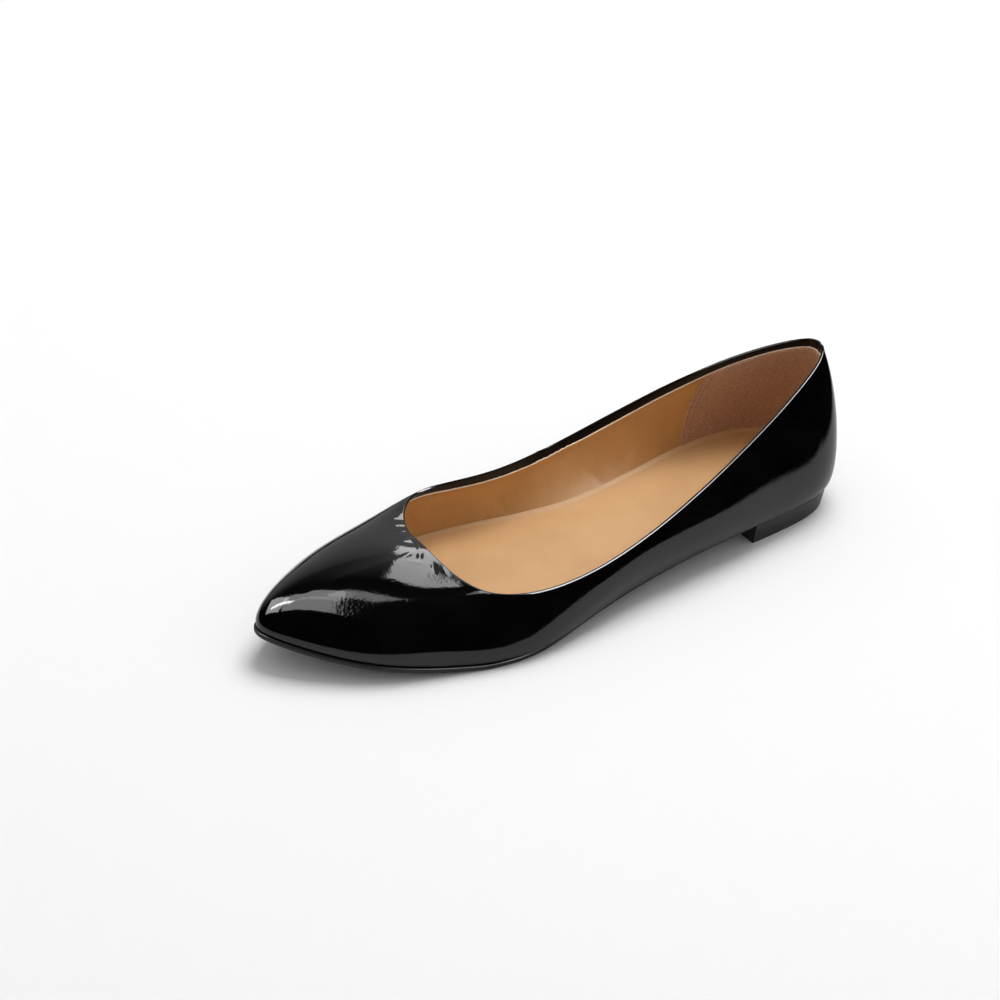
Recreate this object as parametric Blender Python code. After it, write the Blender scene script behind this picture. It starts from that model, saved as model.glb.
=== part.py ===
"""Pointed toe flat shoe, for the left foot, at its real size in metres.

The shoe stands on the floor at Z = 0 with its toe towards -Y and its outer (lateral) side towards +X.
Its last is a ring of ribs. A rib starts on the feather line, where the upper turns under the foot,
leaves it sideways, heads for the shoulder of the last and ends on the topline, where the foot goes in.
Upper, insole, outsole and heel are all worked out from these ribs, so that they follow each other.
"""

import math
from collections import namedtuple

import bmesh
import bpy
import numpy as np

# Sizes of the last
LAST_LENGTH = 0.266  # feather line, from the back of the heel to the tip of the toe
BALL_WIDTH = 0.084  # feather line, across the ball of the foot
INSTEP_HEIGHT = 0.0275  # front of the topline, above the bottom of the last
BACK_HEIGHT = 0.056  # back of the topline, above the seat
HEEL_HEIGHT = 0.010  # seat of the last, above the floor
TOE_SPRING = 0.0132  # rise of the toe's tip from the tread
FEATHER_ROLL = 0.004  # how far the upper sets off sideways where it turns under the last

# Sizes of the pieces
UPPER_WALL = 0.0016
LASTING_MARGIN = 0.010  # the upper's edge, turned under the insole
INSOLE_THICKNESS = 0.0026
SEAT_PAD = 0.0018  # padding under the heel, on top of the insole's thickness
SOLE_THICKNESS = 0.0022
SOLE_EDGE = 0.0015  # how far the outsole shows past the feather line at the ball
SOLE_EDGE_ROUND = 0.0004
HEEL_BREAST = 0.050  # front face of the heel, from the back of the last
HEEL_INSET = 0.0002  # heel's upper edge, inside the feather line
HEEL_TAPER = 0.0016  # narrowing of the heel towards the floor, each side
HEEL_CHAMFER = 0.0005
CLEARANCE = 0.0003
INSOLE_EASE = 0.0007  # between the insole's edge and the inside of the wall
FILLER_EASE = 0.0012  # between the insole's lower part and the turned margin round it

# Fineness of the solids
COLUMNS = 108  # ribs round the last, an even number
SIDE_STEPS = (0.0, 0.12, 0.24, 0.36, 0.48, 0.6, 0.71, 0.81, 0.9, 1.0)
WALL_SAMPLES = 40

# The bottom of the last along its length. Shares: at of LAST_LENGTH, seat of the heel's height over
# the outsole, toe of TOE_SPRING.
Station = namedtuple("Station", "at seat toe")
BOTTOM = (
    Station(0.000, 1.00, 0.00),
    Station(0.100, 1.00, 0.00),
    Station(0.200, 1.00, 0.00),
    Station(0.300, 0.87, 0.00),
    Station(0.415, 0.56, 0.00),
    Station(0.530, 0.21, 0.00),
    Station(0.610, 0.03, 0.00),
    Station(0.640, 0.00, 0.00),
    Station(0.715, 0.00, 0.00),
    Station(0.770, 0.00, 0.09),
    Station(0.830, 0.00, 0.25),
    Station(0.885, 0.00, 0.44),
    Station(0.945, 0.00, 0.70),
    Station(1.000, 0.00, 1.00),
)

# The ribs, from the back of the heel along the outer side to the toe and back along the inner side.
# Shares: every at of LAST_LENGTH from the back, every out of BALL_WIDTH with the outer side positive,
# roll of FEATHER_ROLL, edge of SOLE_EDGE, brow_up of INSTEP_HEIGHT over the bottom of the last,
# and rise from 0 at INSTEP_HEIGHT to 1 at BACK_HEIGHT.
Rib = namedtuple("Rib", "at out roll edge brow_at brow_out brow_up top_at top_out rise")
RIBS = (
    Rib(0.000, 0.000, 1.20, -1.0, -0.020, 0.000, 1.27, 0.004, 0.000, 1.00),
    Rib(0.030, 0.214, 1.20, -1.0, 0.017, 0.232, 1.25, 0.026, 0.083, 0.91),
    Rib(0.120, 0.304, 1.10, -1.0, 0.120, 0.326, 0.66, 0.113, 0.190, 0.61),
    Rib(0.265, 0.339, 1.25, -0.4, 0.267, 0.432, 0.45, 0.256, 0.298, 0.14),
    Rib(0.415, 0.372, 1.40, 0.3, 0.415, 0.478, 0.46, 0.406, 0.399, -0.13),
    Rib(0.545, 0.443, 1.10, 0.8, 0.545, 0.560, 0.21, 0.530, 0.462, -0.18),
    Rib(0.660, 0.515, 0.90, 1.0, 0.658, 0.586, 0.14, 0.630, 0.470, -0.12),
    Rib(0.770, 0.452, 0.80, 1.0, 0.763, 0.475, 0.52, 0.692, 0.381, -0.08),
    Rib(0.885, 0.306, 0.75, 1.0, 0.880, 0.345, 0.72, 0.719, 0.205, 0.00),
    Rib(0.955, 0.122, 0.75, 1.0, 0.956, 0.148, 0.78, 0.722, 0.090, 0.04),
    Rib(1.000, -0.095, 0.75, 1.0, 1.003, -0.100, 0.90, 0.721, -0.018, 0.06),
    Rib(0.955, -0.245, 0.75, 1.0, 0.957, -0.280, 1.14, 0.718, -0.125, 0.05),
    Rib(0.885, -0.345, 0.75, 1.0, 0.881, -0.395, 1.20, 0.711, -0.238, 0.04),
    Rib(0.770, -0.430, 0.80, 1.0, 0.763, -0.490, 0.98, 0.669, -0.423, 0.03),
    Rib(0.660, -0.488, 0.90, 1.0, 0.654, -0.540, 0.75, 0.613, -0.470, 0.03),
    Rib(0.545, -0.405, 1.00, 0.3, 0.541, -0.485, 0.52, 0.526, -0.423, 0.01),
    Rib(0.415, -0.240, 1.00, -0.6, 0.414, -0.410, 0.42, 0.406, -0.411, 0.03),
    Rib(0.265, -0.265, 1.10, -0.8, 0.267, -0.400, 0.62, 0.263, -0.369, 0.29),
    Rib(0.120, -0.339, 1.20, -1.0, 0.118, -0.366, 1.20, 0.117, -0.244, 0.73),
    Rib(0.030, -0.230, 1.20, -1.0, 0.017, -0.246, 1.25, 0.019, -0.100, 0.97),
)

# The spine that the lasting margin points to, as shares of LAST_LENGTH
SPINE_BACK = 0.10
SPINE_FRONT = 0.84


def clear_scene():
    """Removes every object that the scene holds."""
    for scene_object in list(bpy.data.objects):
        bpy.data.objects.remove(scene_object, do_unlink=True)


def hermite(step, share, start, end, start_slope, end_slope):
    """Cubic between two values with the slopes given at its ends."""
    square = share * share
    cube = square * share
    return (
        (2 * cube - 3 * square + 1) * start
        + (cube - 2 * square + share) * step * start_slope
        + (3 * square - 2 * cube) * end
        + (cube - square) * step * end_slope
    )


def even_curve(knots, values, where):
    """Curve through a table of stations that never overshoots: it is level where neighbours are level."""
    steps = np.diff(knots)
    slopes = np.diff(values) / steps
    tangents = np.zeros(len(knots))
    for i in range(1, len(knots) - 1):
        before, after = slopes[i - 1], slopes[i]
        if before * after > 0:
            tangents[i] = 2 * before * after / (before + after)
    tangents[0] = slopes[0]
    tangents[-1] = slopes[-1]
    where = np.clip(where, knots[0], knots[-1])
    i = np.clip(np.searchsorted(knots, where, side="right") - 1, 0, len(steps) - 1)
    share = (where - knots[i]) / steps[i]
    return hermite(steps[i], share, values[i], values[i + 1], tangents[i], tangents[i + 1])


def ring_curve(knots, values, where):
    """Closed cubic spline of even curvature through values that stand at angles round a ring."""
    count = len(knots)
    steps = np.diff(np.append(knots, knots[0] + 2 * math.pi))
    slopes = (np.roll(values, -1) - values) / steps
    system = np.zeros((count, count))
    wanted = np.zeros(count)
    for i in range(count):
        before, after = steps[i - 1], steps[i]
        system[i, i] = 2 * (before + after)
        system[i, i - 1] += after
        system[i, (i + 1) % count] += before
        wanted[i] = 3 * (after * slopes[i - 1] + before * slopes[i])
    tangents = np.linalg.solve(system, wanted)
    where = np.mod(where - knots[0], 2 * math.pi) + knots[0]
    i = np.searchsorted(knots, where, side="right") - 1
    following = (i + 1) % count
    share = (where - knots[i]) / steps[i]
    return hermite(steps[i], share, values[i], values[following], tangents[i], tangents[following])


def bottom_share(name, at):
    """A column of the table of the last's bottom, read along its length."""
    knots = np.array([station.at for station in BOTTOM])
    values = np.array([getattr(station, name) for station in BOTTOM])
    return even_curve(knots, values, at)


def bottom_height(at):
    """Height of the bottom of the last above the floor, which is also the outsole's upper face."""
    seat_rise = HEEL_HEIGHT - SOLE_THICKNESS
    return SOLE_THICKNESS + bottom_share("seat", at) * seat_rise + bottom_share("toe", at) * TOE_SPRING


def rib_angles():
    """Angle of each rib of the table round the last: 0 at the heel and pi at the toe."""
    toe = max(range(len(RIBS)), key=lambda i: RIBS[i].at)
    half = [math.acos(1 - 2 * rib.at) for rib in RIBS]
    return np.array([angle if i <= toe else 2 * math.pi - angle for i, angle in enumerate(half)])


class Last:
    """The last as arrays with a row for each rib, at evenly spaced angles round the shoe."""

    def __init__(self, columns):
        self.angles = 2 * math.pi * np.arange(columns) / columns
        self.at = (1 - np.cos(self.angles)) / 2
        self.feather = self.on_plan(self.at, self.column("out"))
        self.outward = self.find_outward()
        self.edge = self.column("edge") * SOLE_EDGE
        self.middle = self.find_middle()
        self.spine = self.find_spine()
        self.foot = self.lifted(self.feather, np.full(columns, CLEARANCE))
        self.aside = self.foot.copy()
        self.aside[:, :2] += self.outward * (self.column("roll") * FEATHER_ROLL)[:, None]
        brow_at = self.column("brow_at")
        brow_rise = self.column("brow_up") * INSTEP_HEIGHT
        self.brow = self.lifted(self.on_plan(brow_at, self.column("brow_out")), brow_rise)
        top_rise = INSTEP_HEIGHT + self.column("rise") * (BACK_HEIGHT - INSTEP_HEIGHT)
        self.top = self.lifted(self.on_plan(self.column("top_at"), self.column("top_out")), top_rise)

    def column(self, name):
        """A column of the rib table, read at this last's angles."""
        values = np.array([getattr(rib, name) for rib in RIBS])
        return ring_curve(rib_angles(), values, self.angles)

    def on_plan(self, at, out):
        """Points seen from above, from shares of the last's length and of the ball's width."""
        return np.column_stack([out * BALL_WIDTH, -at * LAST_LENGTH])

    def lifted(self, plan, rise):
        """Plan points raised to a height over the bottom of the last."""
        height = bottom_height(-plan[:, 1] / LAST_LENGTH) + rise
        return np.column_stack([plan, height])

    def find_outward(self):
        """Directions that point away from the last, square to the feather line."""
        along = np.roll(self.feather, -1, axis=0) - np.roll(self.feather, 1, axis=0)
        square = np.column_stack([-along[:, 1], along[:, 0]])
        return square / np.linalg.norm(square, axis=1)[:, None]

    def find_middle(self):
        """Plan points halfway between the two sides, at each rib."""
        opposite = self.feather[(-np.arange(len(self.feather))) % len(self.feather)]
        return (self.feather + opposite) / 2

    def find_spine(self):
        """Plan points on the middle line that the ribs lean on, with the ends of the line held back."""
        along = np.clip(self.at, SPINE_BACK, SPINE_FRONT) * LAST_LENGTH
        order = np.argsort(self.at[: len(self.at) // 2 + 1])
        places = -self.middle[order, 1]
        across = np.interp(along, places, self.middle[order, 0])
        return np.column_stack([across, -along])

    def inset(self, plan, distance):
        """Plan points moved towards the spine by a distance each."""
        inward = self.spine - plan
        inward /= np.linalg.norm(inward, axis=1)[:, None]
        return plan + inward * np.asarray(distance).reshape(-1, 1)

    def side(self, share):
        """Ring round the upper's outside, from the feather line (0) to the topline (1)."""
        rest = 1 - share
        return (
            rest**3 * self.foot
            + 3 * rest**2 * share * self.aside
            + 3 * rest * share**2 * self.brow
            + share**3 * self.top
        )

    def reach_inside(self, rises):
        """How far the wall's inside stands past the feather line, at a height over the sole for each rib."""
        shares = np.linspace(0.0, 0.6, WALL_SAMPLES)
        rings = np.array([self.side(share) for share in shares])
        reaches = ((rings[:, :, :2] - self.feather) * self.outward).sum(axis=2)
        heights = rings[:, :, 2] - bottom_height(self.at)
        sideways = np.gradient(reaches, axis=0)
        upwards = np.gradient(heights, axis=0)
        length = np.hypot(sideways, upwards)
        reaches = reaches - UPPER_WALL * upwards / length
        heights = heights + UPPER_WALL * sideways / length
        return np.array([np.interp(rise, heights[:, i], reaches[:, i]) for i, rise in enumerate(rises)])


def new_object(name, mesh, color, roughness, parent):
    """Object with its own material, under the shoe's origin."""
    material = bpy.data.materials.new(name + "_material")
    material.use_nodes = True
    shader = material.node_tree.nodes["Principled BSDF"]
    shader.inputs["Base Color"].default_value = (*color, 1.0)
    shader.inputs["Roughness"].default_value = roughness
    shader.inputs["Metallic"].default_value = 0.0
    mesh.materials.append(material)
    piece = bpy.data.objects.new(name, mesh)
    piece.parent = parent
    bpy.context.collection.objects.link(piece)
    return piece


def ring_of(bm, points):
    """Closed loop of vertices and edges through the points."""
    verts = [bm.verts.new(point) for point in points]
    edges = [bm.edges.new((verts[i - 1], verts[i])) for i in range(len(verts))]
    return verts, edges


def skin(bm, rings):
    """Walls between each ring of points and the next. Returns the vertices of the first and the last."""
    made = [ring_of(bm, points) for points in rings]
    for (_, lower), (_, upper) in zip(made, made[1:]):
        bmesh.ops.bridge_loops(bm, edges=lower + upper)
    return made[0][0], made[-1][0]


def close_across(bm, verts, start):
    """Closes a loop with strips that run from one side of the shoe to the other.

    start is 1 where the loop begins with a single vertex at the heel, and 0 where it begins with a
    straight edge across the shoe.
    """
    left, right = (1, len(verts) - 1) if start else (0, len(verts) - 1)
    if start:
        bm.faces.new((verts[0], verts[left], verts[right]))
    while right - left > 2:
        bm.faces.new((verts[left], verts[left + 1], verts[right - 1], verts[right]))
        left += 1
        right -= 1
    bm.faces.new((verts[left], verts[left + 1], verts[right]))


def finish_mesh(bm, name):
    """Mesh from the bmesh, with its faces pointing out and its round parts shaded smooth."""
    bmesh.ops.recalc_face_normals(bm, faces=bm.faces)
    mesh = bpy.data.meshes.new(name)
    bm.to_mesh(mesh)
    bm.free()
    mesh.shade_smooth()
    mesh.set_sharp_from_angle(angle=math.radians(40))
    return mesh


def margin_ring(last, distance):
    """Ring on the upper's underside, a distance in from the feather line."""
    plan = last.inset(last.feather, distance)
    return last.lifted(plan, np.full(len(plan), CLEARANCE))


def make_upper(last, origin):
    """Upper: one wall from the margin under the foot, round the feather line and up to the topline."""
    bm = bmesh.new()
    rings = [margin_ring(last, LASTING_MARGIN), margin_ring(last, LASTING_MARGIN / 2)]
    rings += [last.side(share) for share in SIDE_STEPS]
    skin(bm, rings)
    mesh = finish_mesh(bm, "upper")
    upper = new_object("upper", mesh, (0.006, 0.006, 0.007), 0.08, origin)
    wall = upper.modifiers.new("wall", "SOLIDIFY")
    wall.thickness = UPPER_WALL
    wall.offset = -1.0
    wall.use_even_offset = True
    wall.use_rim = True
    return upper


def make_insole(last, origin):
    """Insole: a plate that meets the upper's inside, and a lower part that fills its lasting margin."""
    underside = 2 * CLEARANCE + UPPER_WALL
    thickness = INSOLE_THICKNESS + SEAT_PAD * bottom_share("seat", last.at)
    hole = last.inset(last.feather, LASTING_MARGIN + FILLER_EASE)
    rings = [last.lifted(hole, np.full(len(hole), CLEARANCE))]
    rings.append(last.lifted(hole, np.full(len(hole), underside)))
    for share in (0.0, 0.5, 1.0):
        rise = underside + share * thickness
        reach = last.reach_inside(rise) - INSOLE_EASE
        plan = last.feather + last.outward * reach[:, None]
        rings.append(last.lifted(plan, rise))
    bm = bmesh.new()
    lowest, highest = skin(bm, rings)
    close_across(bm, lowest, 1)
    close_across(bm, highest, 1)
    mesh = finish_mesh(bm, "insole")
    return new_object("insole", mesh, (0.65, 0.38, 0.17), 0.5, origin)


def make_outsole(last, origin):
    """Outsole: a thin plate from the heel's breast to the tip, level on the floor under the ball."""
    front = [i for i, at in enumerate(last.at) if at * LAST_LENGTH > HEEL_BREAST + CLEARANCE]
    plan = last.feather + last.outward * last.edge[:, None]
    plan = plan[front]
    start = -(HEEL_BREAST + CLEARANCE)
    plan[0, 1] = start
    plan[-1, 1] = start
    inner = last.inset(last.feather + last.outward * last.edge[:, None], SOLE_EDGE_ROUND)[front]
    inner[0, 1] = start
    inner[-1, 1] = start
    top = bottom_height(-plan[:, 1] / LAST_LENGTH)
    inner_top = bottom_height(-inner[:, 1] / LAST_LENGTH)
    rings = [
        np.column_stack([inner, inner_top - SOLE_THICKNESS]),
        np.column_stack([plan, top - SOLE_THICKNESS + SOLE_EDGE_ROUND]),
        np.column_stack([plan, top - SOLE_EDGE_ROUND]),
        np.column_stack([inner, inner_top]),
    ]
    bm = bmesh.new()
    lowest, highest = skin(bm, rings)
    close_across(bm, lowest, 0)
    close_across(bm, highest, 0)
    mesh = finish_mesh(bm, "outsole")
    return new_object("outsole", mesh, (0.008, 0.008, 0.009), 0.3, origin)


def make_heel(last, origin):
    """Heel: a low block under the seat, flat on the floor, with a straight breast."""
    seat = [i for i, at in enumerate(last.at) if at * LAST_LENGTH < HEEL_BREAST]
    order = sorted(seat, key=lambda i: (last.angles[i] + math.pi) % (2 * math.pi))
    bm = bmesh.new()
    rings = []
    sizes = (
        (0.0, HEEL_INSET + HEEL_TAPER + HEEL_CHAMFER),
        (HEEL_CHAMFER / HEEL_HEIGHT, HEEL_INSET + HEEL_TAPER),
        (1.0, HEEL_INSET),
    )
    for share, inset in sizes:
        plan = last.inset(last.feather, inset)[order]
        plan[0, 1] = -HEEL_BREAST
        plan[-1, 1] = -HEEL_BREAST
        height = share * bottom_height(-plan[:, 1] / LAST_LENGTH)
        rings.append(np.column_stack([plan, height]))
    lowest, highest = skin(bm, rings)
    bm.faces.new(lowest)
    close_across(bm, highest, 0)
    mesh = finish_mesh(bm, "heel")
    return new_object("heel", mesh, (0.012, 0.012, 0.013), 0.35, origin)


def centre_origin(origin, pieces):
    """Moves the shoe so that the world's origin is under the middle of its box."""
    bpy.context.view_layer.update()
    graph = bpy.context.evaluated_depsgraph_get()
    corners = []
    for piece in pieces:
        evaluated = piece.evaluated_get(graph)
        corners += [evaluated.matrix_world @ vertex.co for vertex in evaluated.to_mesh().vertices]
        evaluated.to_mesh_clear()
    low = [min(corner[axis] for corner in corners) for axis in range(3)]
    high = [max(corner[axis] for corner in corners) for axis in range(3)]
    origin.location = (-(low[0] + high[0]) / 2, -(low[1] + high[1]) / 2, -low[2])


def main():
    """Builds the shoe's four pieces round one last."""
    clear_scene()
    origin = bpy.data.objects.new("shoe_origin", None)
    bpy.context.collection.objects.link(origin)
    last = Last(COLUMNS)
    pieces = [
        make_upper(last, origin),
        make_insole(last, origin),
        make_outsole(last, origin),
        make_heel(last, origin),
    ]
    centre_origin(origin, pieces)


main()
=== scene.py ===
"""Looks of a pointed toe flat shoe in black patent leather, for the left foot.

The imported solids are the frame. Each piece is laid over the same last as they are, with a finer mesh and
with what a solid leaves out: the turned topline, the lining with its raw edge, the heel grip, its stitches,
the seams, and the creases that wear and lasting leave in the leather. All lengths are in metres.
"""

import logging
import math
from dataclasses import dataclass, field
from enum import Enum

import bmesh
import bpy
import numpy as np
from mathutils import Matrix, Quaternion, Vector


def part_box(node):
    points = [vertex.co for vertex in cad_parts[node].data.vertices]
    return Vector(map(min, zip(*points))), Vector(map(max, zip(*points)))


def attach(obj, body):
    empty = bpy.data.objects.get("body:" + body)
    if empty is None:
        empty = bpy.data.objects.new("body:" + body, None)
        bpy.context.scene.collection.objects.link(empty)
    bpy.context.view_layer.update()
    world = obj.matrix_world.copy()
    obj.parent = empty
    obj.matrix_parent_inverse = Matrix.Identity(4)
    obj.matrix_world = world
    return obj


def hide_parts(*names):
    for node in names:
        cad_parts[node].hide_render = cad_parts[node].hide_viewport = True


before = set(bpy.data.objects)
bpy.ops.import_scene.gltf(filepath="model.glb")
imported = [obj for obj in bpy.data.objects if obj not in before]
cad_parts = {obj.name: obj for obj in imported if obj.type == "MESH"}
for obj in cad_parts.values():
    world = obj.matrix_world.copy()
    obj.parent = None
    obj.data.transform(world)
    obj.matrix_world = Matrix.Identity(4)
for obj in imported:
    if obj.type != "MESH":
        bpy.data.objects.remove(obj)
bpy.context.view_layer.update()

log = logging.getLogger("flat_shoe")
MM = 0.001
TURN = 2 * math.pi

# Columns round the last here, and the columns and heights that the upper's solid is made of.
COLUMNS = 576
SOLID_COLUMNS = 108
SOLID_SHARES = (0.0, 0.12, 0.24, 0.36, 0.48, 0.6, 0.71, 0.81, 0.9, 1.0)

# Points nearer than this are merged, and edges sharper than this angle, in degrees, stay sharp.
MERGED = 0.002 * MM
SHARP_ANGLE = 50.0


class Side(Enum):
    """The two sides of the shoe, as the sign of their angle round the last."""

    OUTER = 1
    INNER = -1


@dataclass(frozen=True)
class Station:
    """A place along the bottom of the last.

    at is a share of the last's length, seat of the heel's height over the outsole, toe of the toe spring.
    """

    at: float
    seat: float
    toe: float


@dataclass(frozen=True)
class Rib:
    """A rib of the last, from the feather line up to the topline.

    at, brow_at and top_at are shares of the last's length from the back, and out, brow_out and top_out of
    the ball's width. roll is a share of the feather roll, edge of the sole's edge, brow_up of the instep
    height, and rise runs from 0 at the instep height to 1 at the back height.
    """

    at: float
    out: float
    roll: float
    edge: float
    brow_at: float
    brow_out: float
    brow_up: float
    top_at: float
    top_out: float
    rise: float


BOTTOM = (
    Station(0.000, 1.00, 0.00),
    Station(0.100, 1.00, 0.00),
    Station(0.200, 1.00, 0.00),
    Station(0.300, 0.87, 0.00),
    Station(0.415, 0.56, 0.00),
    Station(0.530, 0.21, 0.00),
    Station(0.610, 0.03, 0.00),
    Station(0.640, 0.00, 0.00),
    Station(0.715, 0.00, 0.00),
    Station(0.770, 0.00, 0.09),
    Station(0.830, 0.00, 0.25),
    Station(0.885, 0.00, 0.44),
    Station(0.945, 0.00, 0.70),
    Station(1.000, 0.00, 1.00),
)

RIBS = (
    Rib(0.000, 0.000, 1.20, -1.0, -0.020, 0.000, 1.27, 0.004, 0.000, 1.00),
    Rib(0.030, 0.214, 1.20, -1.0, 0.017, 0.232, 1.25, 0.026, 0.083, 0.91),
    Rib(0.120, 0.304, 1.10, -1.0, 0.120, 0.326, 0.66, 0.113, 0.190, 0.61),
    Rib(0.265, 0.339, 1.25, -0.4, 0.267, 0.432, 0.45, 0.256, 0.298, 0.14),
    Rib(0.415, 0.372, 1.40, 0.3, 0.415, 0.478, 0.46, 0.406, 0.399, -0.13),
    Rib(0.545, 0.443, 1.10, 0.8, 0.545, 0.560, 0.21, 0.530, 0.462, -0.18),
    Rib(0.660, 0.515, 0.90, 1.0, 0.658, 0.586, 0.14, 0.630, 0.470, -0.12),
    Rib(0.770, 0.452, 0.80, 1.0, 0.763, 0.475, 0.52, 0.692, 0.381, -0.08),
    Rib(0.885, 0.306, 0.75, 1.0, 0.880, 0.345, 0.72, 0.719, 0.205, 0.00),
    Rib(0.955, 0.122, 0.75, 1.0, 0.956, 0.148, 0.78, 0.722, 0.090, 0.04),
    Rib(1.000, -0.095, 0.75, 1.0, 1.003, -0.100, 0.90, 0.721, -0.018, 0.06),
    Rib(0.955, -0.245, 0.75, 1.0, 0.957, -0.280, 1.14, 0.718, -0.125, 0.05),
    Rib(0.885, -0.345, 0.75, 1.0, 0.881, -0.395, 1.20, 0.711, -0.238, 0.04),
    Rib(0.770, -0.430, 0.80, 1.0, 0.763, -0.490, 0.98, 0.669, -0.423, 0.03),
    Rib(0.660, -0.488, 0.90, 1.0, 0.654, -0.540, 0.75, 0.613, -0.470, 0.03),
    Rib(0.545, -0.405, 1.00, 0.3, 0.541, -0.485, 0.52, 0.526, -0.423, 0.01),
    Rib(0.415, -0.240, 1.00, -0.6, 0.414, -0.410, 0.42, 0.406, -0.411, 0.03),
    Rib(0.265, -0.265, 1.10, -0.8, 0.267, -0.400, 0.62, 0.263, -0.369, 0.29),
    Rib(0.120, -0.339, 1.20, -1.0, 0.118, -0.366, 1.20, 0.117, -0.244, 0.73),
    Rib(0.030, -0.230, 1.20, -1.0, 0.017, -0.246, 1.25, 0.019, -0.100, 0.97),
)


def hermite(step: np.ndarray, share: np.ndarray, ends: tuple, slopes: tuple) -> np.ndarray:
    """Cubic between two values with the slopes given at its ends.

    Args:
        step: distance between the two knots.
        share: where to read it, from 0 to 1.
        ends: the values at the two knots.
        slopes: the slopes at the two knots.

    Returns:
        The cubic's values.
    """
    square = share * share
    cube = square * share
    start = (2 * cube - 3 * square + 1) * ends[0] + (cube - 2 * square + share) * step * slopes[0]
    end = (3 * square - 2 * cube) * ends[1] + (cube - square) * step * slopes[1]
    return start + end


def even_curve(knots: np.ndarray, values: np.ndarray, where: np.ndarray) -> np.ndarray:
    """Curve through stations that never overshoots: it is level where its neighbours are level.

    Args:
        knots: rising places of the stations.
        values: their values.
        where: places to read the curve at.

    Returns:
        The curve's values.
    """
    steps = np.diff(knots)
    rises = np.diff(values) / steps
    slopes = np.zeros(len(knots))
    for i in range(1, len(knots) - 1):
        before, after = rises[i - 1], rises[i]
        if before * after > 0:
            slopes[i] = 2 * before * after / (before + after)
    slopes[0] = rises[0]
    slopes[-1] = rises[-1]
    where = np.clip(where, knots[0], knots[-1])
    i = np.clip(np.searchsorted(knots, where, side="right") - 1, 0, len(steps) - 1)
    share = (where - knots[i]) / steps[i]
    return hermite(steps[i], share, (values[i], values[i + 1]), (slopes[i], slopes[i + 1]))


def ring_curve(knots: np.ndarray, values: np.ndarray, where: np.ndarray) -> np.ndarray:
    """Closed cubic spline of even curvature through values that stand at angles round a ring.

    Args:
        knots: rising angles of the values, within one turn.
        values: the values.
        where: angles to read the curve at.

    Returns:
        The curve's values.
    """
    count = len(knots)
    steps = np.diff(np.append(knots, knots[0] + TURN))
    rises = (np.roll(values, -1) - values) / steps
    system = np.zeros((count, count))
    wanted = np.zeros(count)
    for i in range(count):
        before, after = steps[i - 1], steps[i]
        system[i, i] = 2 * (before + after)
        system[i, i - 1] += after
        system[i, (i + 1) % count] += before
        wanted[i] = 3 * (after * rises[i - 1] + before * rises[i])
    slopes = np.linalg.solve(system, wanted)
    where = np.mod(where - knots[0], TURN) + knots[0]
    i = np.searchsorted(knots, where, side="right") - 1
    following = (i + 1) % count
    share = (where - knots[i]) / steps[i]
    return hermite(steps[i], share, (values[i], values[following]), (slopes[i], slopes[following]))


def smooth_step(low: float, high: float, where: np.ndarray) -> np.ndarray:
    """0 below low, 1 above high, and a soft change between them.

    Args:
        low: where the change starts.
        high: where it ends.
        where: places to read it at.

    Returns:
        Shares from 0 to 1.
    """
    share = np.clip((np.asarray(where) - low) / (high - low), 0.0, 1.0)
    return share * share * (3 - 2 * share)


@dataclass(frozen=True)
class LastSizes:
    """Driving sizes of the last, and of the pieces round it, as the solids have them."""

    length: float = 0.266
    ball_width: float = 0.084
    instep_height: float = 0.0275
    back_height: float = 0.056
    heel_height: float = 0.010
    toe_spring: float = 0.0132
    feather_roll: float = 0.004
    wall: float = 0.0016
    lasting_margin: float = 0.010
    insole_thickness: float = 0.0026
    seat_pad: float = 0.0018
    sole_thickness: float = 0.0022
    sole_edge: float = 0.0015
    heel_breast: float = 0.050
    heel_inset: float = 0.0002
    heel_taper: float = 0.0016
    clearance: float = 0.0003
    spine_back: float = 0.10
    spine_front: float = 0.84


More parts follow.
